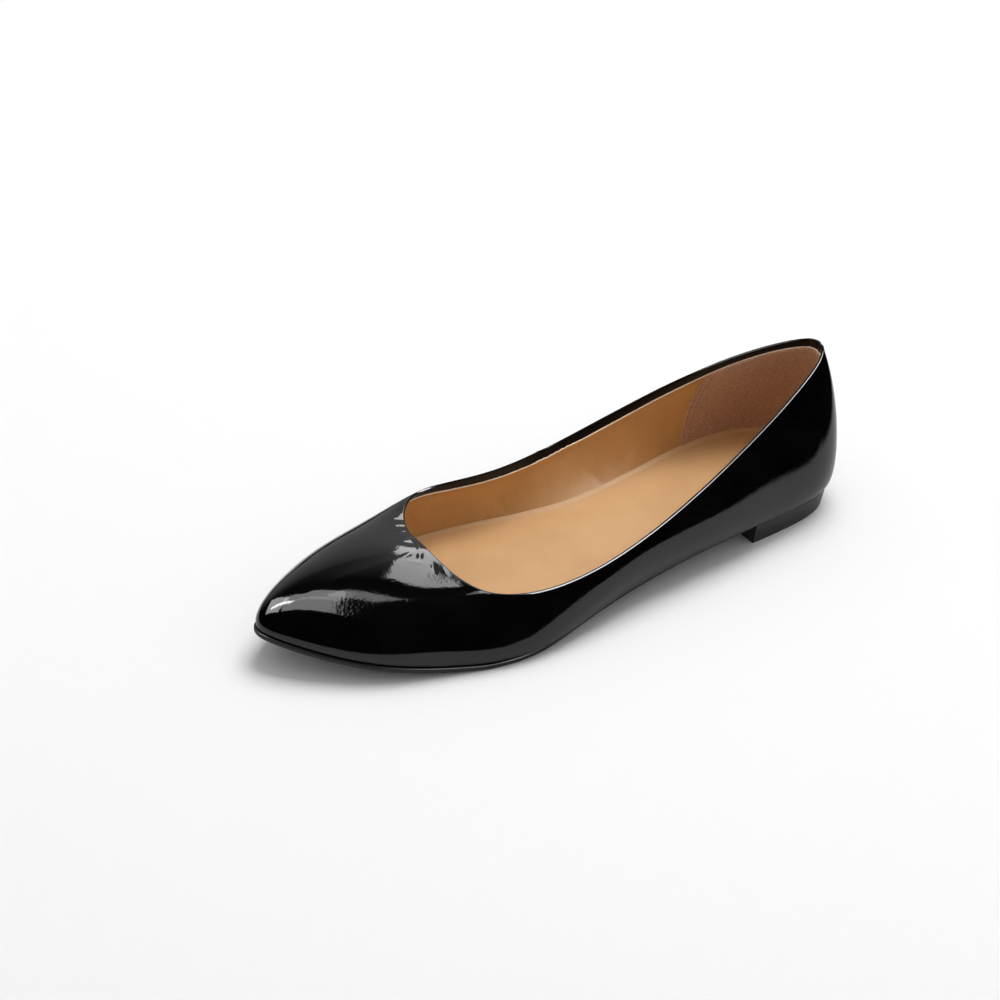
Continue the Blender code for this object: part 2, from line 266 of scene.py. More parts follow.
class Last:
    """The last as arrays with a row for each rib, at the angles asked for."""

    def __init__(self, sizes: LastSizes, angles: np.ndarray) -> None:
        """Works out the ribs.

        Args:
            sizes: the driving sizes.
            angles: places round the shoe, 0 at the back of the heel and pi at the toe.
        """
        self.sizes = sizes
        self.angles = angles
        self.at = (1 - np.cos(angles)) / 2
        self.feather = self.on_plan(self.at, self.column("out"))
        self.edge = self.column("edge") * sizes.sole_edge
        nudge = 1e-4
        ahead = self.on_plan((1 - np.cos(angles + nudge)) / 2, self.column("out", nudge))
        behind = self.on_plan((1 - np.cos(angles - nudge)) / 2, self.column("out", -nudge))
        along = ahead - behind
        square = np.column_stack([-along[:, 1], along[:, 0]])
        self.outward = square / np.linalg.norm(square, axis=1)[:, None]
        opposite = self.on_plan(self.at, self.column("out", -2 * angles))
        middle = (self.feather + opposite) / 2
        order = np.argsort(-middle[:, 1], kind="stable")
        spine_at = np.clip(self.at, sizes.spine_back, sizes.spine_front) * sizes.length
        across = np.interp(spine_at, -middle[order, 1], middle[order, 0])
        self.spine = np.column_stack([across, -spine_at])
        self.foot = self.lifted(self.feather, np.full(len(angles), sizes.clearance))
        self.aside = self.foot.copy()
        self.aside[:, :2] += self.outward * (self.column("roll") * sizes.feather_roll)[:, None]
        brow_plan = self.on_plan(self.column("brow_at"), self.column("brow_out"))
        self.brow = self.lifted(brow_plan, self.column("brow_up") * sizes.instep_height)
        rise = self.column("rise") * (sizes.back_height - sizes.instep_height)
        top_plan = self.on_plan(self.column("top_at"), self.column("top_out"))
        self.top = self.lifted(top_plan, sizes.instep_height + rise)

    def column(self, name: str, turned: float | np.ndarray = 0.0) -> np.ndarray:
        """A column of the rib table, read at this last's angles plus a turn."""
        values = np.array([getattr(rib, name) for rib in RIBS])
        toe = max(range(len(RIBS)), key=lambda i: RIBS[i].at)
        half = [math.acos(1 - 2 * rib.at) for rib in RIBS]
        knots = np.array([angle if i <= toe else TURN - angle for i, angle in enumerate(half)])
        return ring_curve(knots, values, self.angles + turned)

    def on_plan(self, at: np.ndarray, out: np.ndarray) -> np.ndarray:
        """Points seen from above, from shares of the last's length and of the ball's width."""
        return np.column_stack([out * self.sizes.ball_width, -at * self.sizes.length])

    def share_of_bottom(self, name: str, at: np.ndarray) -> np.ndarray:
        """A column of the table of the last's bottom, read along its length."""
        knots = np.array([station.at for station in BOTTOM])
        values = np.array([getattr(station, name) for station in BOTTOM])
        return even_curve(knots, values, at)

    def bottom_height(self, at: np.ndarray) -> np.ndarray:
        """Height of the bottom of the last above the floor."""
        sizes = self.sizes
        seat_rise = sizes.heel_height - sizes.sole_thickness
        lifted_seat = self.share_of_bottom("seat", at) * seat_rise
        return sizes.sole_thickness + lifted_seat + self.share_of_bottom("toe", at) * sizes.toe_spring

    def lifted(self, plan: np.ndarray, rise: np.ndarray) -> np.ndarray:
        """Plan points raised to a height over the bottom of the last."""
        height = self.bottom_height(-plan[:, 1] / self.sizes.length) + rise
        return np.column_stack([plan, height])

    def inset(self, plan: np.ndarray, distance: float) -> np.ndarray:
        """Plan points moved towards the spine by a distance."""
        inward = self.spine - plan
        inward /= np.linalg.norm(inward, axis=1)[:, None]
        return plan + inward * distance

    def side(self, share: float) -> np.ndarray:
        """Ring round the upper's outside, from the feather line (0) to the topline (1)."""
        rest = 1 - share
        return (
            rest**3 * self.foot
            + 3 * rest**2 * share * self.aside
            + 3 * rest * share**2 * self.brow
            + share**3 * self.top
        )


def ring_angles(columns: int) -> np.ndarray:
    """Angles once round the last, with the first one repeated at the end."""
    return TURN * np.arange(columns + 1) / columns


@dataclass(frozen=True)
class Crease:
    """A soft ridge (height above 0) or trough in the leather, along a line on the upper.

    angle and depth are where its middle lies: the angle round the last in degrees, with the inner side
    past 180, and the distance below the topline. lean turns its line from straight down the wall, in
    degrees, towards the toe on the outer side. length and width are where it has faded out.
    """

    angle: float
    depth: float
    lean: float
    length: float
    width: float
    height: float


class Wall:
    """The side of the upper as a field: places and directions by angle and by depth below the topline."""

    SAMPLES = 420
    FADE = 2.2

    def __init__(self, last: Last, creases: tuple[Crease, ...], shift: np.ndarray) -> None:
        """Samples the side of the last and lays the creases into it.

        Args:
            last: the last, at angles that run once round with the first one repeated.
            creases: ridges and troughs of the leather.
            shift: from the last's coordinates to the frame's.
        """
        self.last = last
        shares = np.linspace(1.0, 0.0, self.SAMPLES)
        self.points = np.array([last.side(share) for share in shares]) + shift
        self.measure()
        self.points = self.points + self.normals * self.relief(creases)[:, :, None]
        self.measure()

    def measure(self) -> None:
        """Works out the depth below the topline, the outward normals and the directions up the wall."""
        steps = np.linalg.norm(np.diff(self.points, axis=0), axis=2)
        start = np.zeros((1, self.points.shape[1]))
        self.depths = np.concatenate([start, np.cumsum(steps, axis=0)])
        downwards = np.gradient(self.points, axis=0)
        ring = self.points[:, :-1]
        along = np.roll(ring, -1, axis=1) - np.roll(ring, 1, axis=1)
        along = np.concatenate([along, along[:, :1]], axis=1)
        normals = np.cross(along, downwards)
        normals /= np.linalg.norm(normals, axis=2)[:, :, None]
        outward = self.last.outward
        if (normals[len(normals) // 2, :, :2] * outward).sum() < 0:
            normals = -normals
        self.normals = normals
        self.upwards = -downwards / np.linalg.norm(downwards, axis=2)[:, :, None]

    def relief(self, creases: tuple[Crease, ...]) -> np.ndarray:
        """Height of the creases at each sample, measured out from the wall."""
        height = np.zeros(self.depths.shape)
        for crease in creases:
            column = int(round(math.radians(crease.angle) / TURN * (self.points.shape[1] - 1)))
            row = int(np.searchsorted(self.depths[:, column], crease.depth))
            middle = self.points[row, column]
            lean = math.radians(crease.lean)
            up = self.upwards[row, column]
            across = np.cross(self.normals[row, column], up)
            line = up * math.cos(lean) + across * math.sin(lean)
            side = np.cross(self.normals[row, column], line)
            offset = self.points - middle
            along = (offset @ line) / (crease.length / 2)
            away = (offset @ side) / (crease.width / 2)
            through = (offset @ self.normals[row, column]) / max(crease.length, crease.width)
            near = along**2 + away**2 + through**2
            height += crease.height * np.exp(-self.FADE * near)
        return height

    def ring_at(self, depth: float | np.ndarray, inward: float | np.ndarray) -> np.ndarray:
        """Ring of points at a depth below the topline, set in from the outside of the wall.

        Args:
            depth: distance below the topline, one for all columns or one for each.
            inward: distance from the outside, the same way.

        Returns:
            One point for each column.
        """
        columns = self.points.shape[1]
        depth = np.broadcast_to(depth, columns)
        inward = np.broadcast_to(inward, columns)
        points, normals, _ = self.read(depth)
        return points - normals * inward[:, None]

    def read(self, depth: np.ndarray) -> tuple[np.ndarray, np.ndarray, np.ndarray]:
        """Points, normals and upward directions at one depth for each column."""
        columns = np.arange(self.points.shape[1])
        rows = np.array([np.interp(depth[i], self.depths[:, i], np.arange(self.SAMPLES)) for i in columns])
        low = np.clip(rows.astype(int), 0, self.SAMPLES - 2)
        share = (rows - low)[:, None]
        found = []
        for values in (self.points, self.normals, self.upwards):
            found.append(values[low, columns] * (1 - share) + values[low + 1, columns] * share)
        for values in found[1:]:
            values /= np.linalg.norm(values, axis=1)[:, None]
        return found[0], found[1], found[2]

    def reach(self) -> np.ndarray:
        """Depth of the feather line below the topline, for each column."""
        return self.depths[-1]


def lay_sheet(rows: np.ndarray) -> bmesh.types.BMesh:
    """Grid of faces laid over rows of points, merged where rows or columns meet.

    Args:
        rows: points as rows, columns and coordinates.

    Returns:
        The sheet, with UVs that run from 0 to 1 along its columns and its rows.
    """
    count_rows, count_columns = rows.shape[:2]
    bm = bmesh.new()
    bm.loops.layers.uv.new("sheet")
    bmesh.ops.create_grid(
        bm, x_segments=count_columns - 1, y_segments=count_rows - 1, size=0.5, calc_uvs=True
    )
    for vert in bm.verts:
        column = round((vert.co.x + 0.5) * (count_columns - 1))
        row = round((vert.co.y + 0.5) * (count_rows - 1))
        vert.co = rows[row, column]
    bmesh.ops.remove_doubles(bm, verts=bm.verts, dist=MERGED)
    return bm


def make_piece(bm: bmesh.types.BMesh, name: str, materials: list[bpy.types.Material]) -> bpy.types.Object:
    """Object from a finished bmesh, with its faces out, smooth, and with its place in its mesh.

    Args:
        bm: the bmesh, which is freed.
        name: the piece's name.
        materials: its material slots.

    Returns:
        The object, linked to the scene.
    """
    bmesh.ops.recalc_face_normals(bm, faces=bm.faces)
    mesh = bpy.data.meshes.new(name)
    bm.to_mesh(mesh)
    bm.free()
    for material in materials:
        mesh.materials.append(material)
    mesh.shade_smooth()
    mesh.set_sharp_from_angle(angle=math.radians(SHARP_ANGLE))
    piece = bpy.data.objects.new(name, mesh)
    bpy.context.scene.collection.objects.link(piece)
    log.info("%s: %d faces", name, len(mesh.polygons))
    return piece


def close_ends(bm: bmesh.types.BMesh) -> None:
    """Fills the open ends of a sheet."""
    holes = [edge for edge in bm.edges if edge.is_boundary]
    bmesh.ops.holes_fill(bm, edges=holes, sides=0)


def hand_over(piece: bpy.types.Object, slot: str, *nodes: str) -> None:
    """Lets a piece ride on the shoe and stand for the solids named.

    Args:
        piece: the finished piece.
        slot: not used.
        nodes: names of the solids that it replaces.
    """
    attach(piece, "root")
    if nodes:
        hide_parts(*nodes)


class Shader:
    """A material's node tree, with short ways to add to it."""

    def __init__(self, name: str) -> None:
        """Starts a material with its Principled BSDF."""
        self.material = bpy.data.materials.new(name)
        self.material.use_nodes = True
        self.nodes = self.material.node_tree.nodes
        self.links = self.material.node_tree.links
        self.surface = self.nodes["Principled BSDF"]

    def set(self, **values: float | tuple) -> None:
        """Sets sockets of the Principled BSDF, with underscores for the spaces in their names."""
        for name, value in values.items():
            self.surface.inputs[name.replace("_", " ")].default_value = value

    def add(self, kind: str, **settings: object) -> bpy.types.Node:
        """Adds a node and sets its properties."""
        node = self.nodes.new(kind)
        for name, value in settings.items():
            setattr(node, name, value)
        return node

    def place(self) -> bpy.types.NodeSocket:
        """The Object coordinates."""
        return self.add("ShaderNodeTexCoord").outputs["Object"]

    def effect(self, group: bpy.types.NodeTree, **values: float | tuple) -> bpy.types.Node:
        """Places a shared effect with its own values, on the Object coordinates."""
        node = self.add("ShaderNodeGroup", node_tree=group)
        for name, value in values.items():
            node.inputs[name.replace("_", " ")].default_value = value
        self.links.new(self.place(), node.inputs["Place"])
        return node

    def bump(
        self, height: bpy.types.NodeSocket, distance: float, below: bpy.types.Node | None = None
    ) -> bpy.types.Node:
        """Adds a bump.

        Args:
            height: socket that gives its height from 0 to 1.
            distance: real height of 1.
            below: another bump, which this one lies over.

        Returns:
            The bump node.
        """
        node = self.add("ShaderNodeBump")
        node.inputs["Strength"].default_value = 1.0
        node.inputs["Distance"].default_value = distance
        self.links.new(height, node.inputs["Height"])
        if below is not None:
            self.links.new(below.outputs["Normal"], node.inputs["Normal"])
        return node


def new_group(name: str, inputs: dict[str, float], outputs: tuple[str, ...]) -> bpy.types.NodeTree:
    """Node group with a Place vector, float inputs with their defaults, and float outputs.

    Args:
        name: name of the group.
        inputs: float inputs and their defaults.
        outputs: names of the float outputs.

    Returns:
        The group, with its input and output nodes in it.
    """
    group = bpy.data.node_groups.new(name, "ShaderNodeTree")
    group.interface.new_socket("Place", in_out="INPUT", socket_type="NodeSocketVector")
    for socket, default in inputs.items():
        made = group.interface.new_socket(socket, in_out="INPUT", socket_type="NodeSocketFloat")
        made.default_value = default
    for socket in outputs:
        group.interface.new_socket(socket, in_out="OUTPUT", socket_type="NodeSocketFloat")
    group.nodes.new("NodeGroupInput")
    group.nodes.new("NodeGroupOutput")
    return group


def grain_group() -> bpy.types.NodeTree:
    """Leather grain: pebbles of a size, with finer pores in them. Puts out their height."""
    group = new_group("leather_grain", {"Pebble": 900.0, "Pore": 3200.0, "Pores": 0.35}, ("Height",))
    nodes, links = group.nodes, group.links
    source, result = nodes["Group Input"], nodes["Group Output"]
    pebbles = nodes.new("ShaderNodeTexVoronoi")
    pebbles.feature = "SMOOTH_F1"
    pebbles.inputs["Smoothness"].default_value = 0.8
    pebbles.inputs["Randomness"].default_value = 0.9
    pores = nodes.new("ShaderNodeTexNoise")
    pores.inputs["Detail"].default_value = 3.0
    weighed = nodes.new("ShaderNodeMath")
    weighed.operation = "MULTIPLY"
    added = nodes.new("ShaderNodeMath")
    added.operation = "ADD"
    links.new(source.outputs["Place"], pebbles.inputs["Vector"])
    links.new(source.outputs["Place"], pores.inputs["Vector"])
    links.new(source.outputs["Pebble"], pebbles.inputs["Scale"])
    links.new(source.outputs["Pore"], pores.inputs["Scale"])
    links.new(pores.outputs["Fac"], weighed.inputs[0])
    links.new(source.outputs["Pores"], weighed.inputs[1])
    links.new(pebbles.outputs["Distance"], added.inputs[0])
    links.new(weighed.outputs[0], added.inputs[1])
    links.new(added.outputs[0], result.inputs["Height"])
    return group


def cloud_group() -> bpy.types.NodeTree:
    """Soft clouds of a size between 0 and 1, for uneven colour, gloss and waves."""
    group = new_group("soft_clouds", {"Size": 40.0, "Low": 0.35, "High": 0.65}, ("Mask",))
    nodes, links = group.nodes, group.links
    source, result = nodes["Group Input"], nodes["Group Output"]
    noise = nodes.new("ShaderNodeTexNoise")
    noise.inputs["Detail"].default_value = 4.0
    noise.inputs["Roughness"].default_value = 0.55
    spread = nodes.new("ShaderNodeMapRange")
    spread.interpolation_type = "SMOOTHSTEP"
    links.new(source.outputs["Place"], noise.inputs["Vector"])
    links.new(source.outputs["Size"], noise.inputs["Scale"])
    links.new(noise.outputs["Fac"], spread.inputs["Value"])
    links.new(source.outputs["Low"], spread.inputs["From Min"])
    links.new(source.outputs["High"], spread.inputs["From Max"])
    links.new(spread.outputs["Result"], result.inputs["Mask"])
    return group


class Effects:
    """The shared effects, each built once."""

    def __init__(self) -> None:
        """Builds the node groups."""
        self.grain = grain_group()
        self.clouds = cloud_group()


Color = tuple[float, float, float]

# Sockets of a colour mix node: its names repeat for each type of value.
MIX_FACTOR, MIX_LOW, MIX_HIGH, MIX_RESULT = 0, 6, 7, 2


def mix_colors(shader: Shader, mask: bpy.types.NodeSocket, low: Color, high: Color) -> bpy.types.NodeSocket:
    """Colour between two, by a mask.

    Args:
        shader: the material's shader.
        mask: socket that gives the share of the second colour.
        low: colour where the mask is 0.
        high: colour where it is 1.

    Returns:
        The mixed colour's socket.
    """
    mixer = shader.add("ShaderNodeMix", data_type="RGBA")
    mixer.inputs[MIX_LOW].default_value = (*low, 1.0)
    mixer.inputs[MIX_HIGH].default_value = (*high, 1.0)
    shader.links.new(mask, mixer.inputs[MIX_FACTOR])
    return mixer.outputs[MIX_RESULT]


@dataclass(frozen=True)
class PatentLeather:
    """Black leather under a thick clear lacquer."""

    name: str
    roughness: float = 0.055
    specular: float = 0.55
    coat: float = 0.20
    color: Color = (0.0010, 0.0010, 0.0012)
    dust: Color = (0.0020, 0.0020, 0.0022)
    ripple_size: float = 950.0
    ripple_height: float = 0.011 * MM
    wave_size: float = 80.0
    wave_height: float = 0.030 * MM

    def material(self, effects: Effects) -> bpy.types.Material:
        """The finish as a material."""
        shader = Shader(self.name)
        shader.set(Roughness=self.roughness, Specular_IOR_Level=self.specular)
        shader.set(Coat_Weight=self.coat, Coat_Roughness=0.03)
        clouds = shader.effect(effects.clouds, Size=60.0)
        tone = mix_colors(shader, clouds.outputs["Mask"], self.color, self.dust)
        shader.links.new(tone, shader.surface.inputs["Base Color"])
        waves = shader.effect(effects.clouds, Size=self.wave_size, Low=0.2, High=0.8)
        grain = shader.effect(effects.grain, Pebble=self.ripple_size, Pore=2600.0, Pores=0.35)
        wavy = shader.bump(waves.outputs["Mask"], self.wave_height)
        rippled = shader.bump(grain.outputs["Height"], self.ripple_height, wavy)
        shader.links.new(rippled.outputs["Normal"], shader.surface.inputs["Normal"])
        return shader.material


@dataclass(frozen=True)
class SmoothLeather:
    """Tan leather with a fine grain, for the lining and the sock."""

    name: str
    light: Color
    dark: Color
    roughness: float
    pebble: float = 1500.0
    grain_height: float = 0.03 * MM
    wrinkle: float = 0.0

    def material(self, effects: Effects) -> bpy.types.Material:
        """The finish as a material."""
        shader = Shader(self.name)
        shader.set(Roughness=self.roughness, Specular_IOR_Level=0.4)
        clouds = shader.effect(effects.clouds, Size=45.0, Low=0.3, High=0.7)
        tone = mix_colors(shader, clouds.outputs["Mask"], self.dark, self.light)
        shader.links.new(tone, shader.surface.inputs["Base Color"])
        grain = shader.effect(effects.grain, Pebble=self.pebble, Pore=5200.0, Pores=0.5)
        below = None
        if self.wrinkle:
            waves = shader.effect(effects.clouds, Size=130.0, Low=0.25, High=0.75)
            below = shader.bump(waves.outputs["Mask"], self.wrinkle)
        bumped = shader.bump(grain.outputs["Height"], self.grain_height, below)
        shader.links.new(bumped.outputs["Normal"], shader.surface.inputs["Normal"])
        return shader.material


@dataclass(frozen=True)
class Suede:
    """Napped split leather of the heel grip."""

    light: Color = (0.66, 0.36, 0.19)
    dark: Color = (0.36, 0.175, 0.085)
    nap_height: float = 0.12 * MM

    def material(self, effects: Effects) -> bpy.types.Material:
        """The finish as a material."""
        shader = Shader("suede")
        shader.set(Roughness=0.95, Sheen_Weight=0.6, Sheen_Roughness=0.5, Specular_IOR_Level=0.15)
        shader.set(Sheen_Tint=(0.9, 0.75, 0.65, 1.0))
        speckle = shader.effect(effects.clouds, Size=2400.0, Low=0.32, High=0.68)
        tone = mix_colors(shader, speckle.outputs["Mask"], self.dark, self.light)
        shader.links.new(tone, shader.surface.inputs["Base Color"])
        fibres = shader.effect(effects.grain, Pebble=2600.0, Pore=5200.0, Pores=1.0)
        napped = shader.bump(fibres.outputs["Height"], self.nap_height)
        shader.links.new(napped.outputs["Normal"], shader.surface.inputs["Normal"])
        return shader.material


@dataclass(frozen=True)
class Moulded:
    """Black moulded sole or heel, satin."""

    name: str
    color: Color
    worn: Color
    roughness: float
    pebble: float = 1800.0
    grain_height: float = 0.02 * MM

    def material(self, effects: Effects) -> bpy.types.Material:
        """The finish as a material."""
        shader = Shader(self.name)
        clouds = shader.effect(effects.clouds, Size=120.0)
        tone = mix_colors(shader, clouds.outputs["Mask"], self.color, self.worn)
        shader.links.new(tone, shader.surface.inputs["Base Color"])
        shader.set(Roughness=self.roughness, Specular_IOR_Level=0.45)
        grain = shader.effect(effects.grain, Pebble=self.pebble, Pore=4200.0, Pores=0.6)
        bumped = shader.bump(grain.outputs["Height"], self.grain_height)
        shader.links.new(bumped.outputs["Normal"], shader.surface.inputs["Normal"])
        return shader.material


@dataclass(frozen=True)
class Thread:
    """Spun thread of the heel grip's stitches."""

    name: str
    color: Color = (0.075, 0.036, 0.018)
    lighter: float = 1.6
    twist_height: float = 0.05 * MM

    def material(self, effects: Effects) -> bpy.types.Material:
        """The finish as a material."""
        shader = Shader(self.name)
        shader.set(Roughness=0.6)
        fuzz = shader.effect(effects.clouds, Size=3000.0)
        lit = tuple(self.lighter * channel for channel in self.color)
        tone = mix_colors(shader, fuzz.outputs["Mask"], self.color, lit)
        shader.links.new(tone, shader.surface.inputs["Base Color"])
        twist = shader.effect(effects.grain, Pebble=4000.0)
        bumped = shader.bump(twist.outputs["Height"], self.twist_height)
        shader.links.new(bumped.outputs["Normal"], shader.surface.inputs["Normal"])
        return shader.material


CREASES = (
    # Short folds beside the throat, at right angles to the topline.
    Crease(214.0, 0.0028, 0.0, 0.0070, 0.0022, -0.00008),
    Crease(219.5, 0.0030, 4.0, 0.0075, 0.0022, -0.00010),
    Crease(225.0, 0.0030, -4.0, 0.0070, 0.0020, -0.00009),
    Crease(230.5, 0.0030, 6.0, 0.0060, 0.0020, -0.00008),
    Crease(236.0, 0.0028, -6.0, 0.0050, 0.0020, -0.00006),
    # Ridges and hollows that walking leaves over the toes.
    Crease(172.5, 0.0166, 45.0, 0.0400, 0.0240, 0.00040),
    Crease(203.0, 0.0032, 22.0, 0.0070, 0.0030, 0.00013),
    Crease(197.0, 0.0052, -30.0, 0.0080, 0.0030, -0.00009),
    Crease(186.0, 0.0030, 64.0, 0.0070, 0.0026, 0.00011),
    Crease(176.0, 0.0100, 18.0, 0.0110, 0.0032, 0.00009),
    Crease(170.0, 0.0060, 55.0, 0.0080, 0.0028, -0.00011),
    Crease(163.0, 0.0095, -38.0, 0.0100, 0.0032, 0.00010),
    Crease(153.0, 0.0048, 60.0, 0.0075, 0.0028, -0.00011),
    Crease(147.0, 0.0026, 70.0, 0.0060, 0.0024, 0.00010),
    # Seam of the quarters at the back, with the lap of its turned edges above it.
    Crease(0.0, 0.0300, 0.0, 0.0900, 0.0026, -0.00026),
    Crease(356.5, 0.0012, 20.0, 0.0040, 0.0040, 0.00036),
    Crease(3.0, 0.0008, -10.0, 0.0030, 0.0030, 0.00030),
    Crease(346.0, 0.0014, 10.0, 0.0040, 0.0040, 0.00022),
    # Seam at the inner side, under the turned topline.
    Crease(276.0, 0.0010, 0.0, 0.0060, 0.0030, 0.00034),
    Crease(278.2, 0.0016, 0.0, 0.0080, 0.0022, -0.00022),
    # Slight hollows low on the outer quarter.
    Crease(38.0, 0.0180, 24.0, 0.0260, 0.0050, -0.00012),
    Crease(29.0, 0.0220, -16.0, 0.0240, 0.0050, 0.00012),
    Crease(24.0, 0.0160, -4.0, 0.0160, 0.0040, -0.00012),
)

LINING_FOLDS = (
    # Slack of the lining where it turns in under the sock.
    Crease(262.0, 0.0200, 38.0, 0.0220, 0.0060, -0.00030),
    Crease(270.0, 0.0215, -34.0, 0.0240, 0.0065, 0.00028),
    Crease(279.0, 0.0220, 40.0, 0.0240, 0.0060, -0.00032),
    Crease(288.0, 0.0240, -38.0, 0.0260, 0.0070, 0.00030),
    Crease(297.0, 0.0270, 36.0, 0.0260, 0.0070, -0.00028),
    Crease(252.0, 0.0190, -40.0, 0.0200, 0.0060, 0.00026),
    Crease(240.0, 0.0180, 44.0, 0.0180, 0.0055, -0.00024),
)


@dataclass
class Upper:
    """Patent leather upper, turned in over its topline, with the lining and the heel grip inside it."""

    last: Last
    shift: np.ndarray
    effects: Effects
    edge_thickness: float = 1.1 * MM
    crest: float = 0.85 * MM
    band_inward: float = 1.80 * MM
    turned_band: float = 4.1 * MM
    band_spacing: float = 1.6
    hidden_gap: float = 0.03 * MM
    hidden_span: tuple[float, float, float] = (0.03, 0.10, 0.94)
    even_spacing: float = 0.35
    margin_rows: int = 4
    side_rows: int = 92
    crest_rows: int = 6
    band_rows: int = 10
    hidden_rows: int = 18
    wall: Wall = field(init=False)

    def __post_init__(self) -> None:
        """Lays the wall's field over the last."""
        self.wall = Wall(self.last, CREASES, self.shift)

    def margin_ring(self, distance: float, rise: float) -> np.ndarray:
        """Ring on the margin that is turned under the foot.

        Args:
            distance: how far in from the feather line.
            rise: height over the bottom of the last.

        Returns:
            One point for each column.
        """
        plan = self.last.inset(self.last.feather, distance)
        return self.last.lifted(plan, np.full(len(plan), rise)) + self.shift

    def topline(self) -> list[tuple[float, float]]:
        """Depth and inward distance of points over the turned topline, from its outside to its inside."""
        profile = []
        for k in range(1, self.crest_rows + 1):
            angle = 0.5 * math.pi * k / self.crest_rows
            profile.append((self.crest * (1 - math.sin(angle)), self.crest * (1 - math.cos(angle))))
        for k in range(1, self.band_rows + 1):
            share = k / self.band_rows
            inward = self.crest + (self.band_inward - self.crest) * share
            profile.append((self.turned_band * share**self.band_spacing, inward))
        return profile

    def build(self) -> bpy.types.Object:
        """The leather as one closed shell, from the lasting margin up over the topline and back down."""
        sizes = self.last.sizes
        reach = self.wall.reach()
        in_margin = sizes.lasting_margin * np.arange(self.margin_rows + 1) / self.margin_rows
        rings = [self.margin_ring(distance, sizes.clearance) for distance in in_margin[:0:-1]]
        for k in range(self.side_rows + 1):
            eased = 0.5 - 0.5 * math.cos(math.pi * k / self.side_rows)
            share = self.even_spacing * k / self.side_rows + (1 - self.even_spacing) * eased
            rings.append(self.wall.ring_at(reach * (1 - share) + self.crest * share, 0.0))
        outside = len(rings) + self.crest_rows
        rings += [self.wall.ring_at(depth, inward) for depth, inward in self.topline()]
        inside = len(rings) + 1
        hidden = self.edge_thickness - self.hidden_gap
        start, top, low = self.hidden_span
        for share in (start, *np.linspace(top, low, self.hidden_rows)):
            rings.append(self.wall.ring_at(self.turned_band + share * (reach - self.turned_band), hidden))
        above = sizes.clearance + self.edge_thickness
        rings += [self.margin_ring(distance, above) for distance in in_margin[1:]]
        rings.append(rings[0])
        bm = lay_sheet(np.array(rings))
        finish_rows(bm, len(rings), outside, inside, 1)
        turned = PatentLeather("turned_edge", roughness=0.30, specular=0.25, coat=0.0)
        finishes = [PatentLeather("patent_leather"), turned]
        piece = make_piece(bm, "patent_upper", [finish.material(self.effects) for finish in finishes])
        hand_over(piece, "patent_leather", "upper")
        return piece


def finish_rows(bm: bmesh.types.BMesh, count: int, first: int, last: int, index: int) -> None:
    """Gives the faces between two rows of a sheet another of its materials.

    Args:
        bm: a sheet from lay_sheet.
        count: number of its rows of points.
        first: row that the change starts at.
        last: row that it ends at.
        index: index of the material.
    """
    layer = bm.loops.layers.uv["sheet"]
    for face in bm.faces:
        row = sum(loop[layer].uv.y for loop in face.loops) / len(face.loops) * (count - 1)
        if first < row < last:
            face.material_index = index


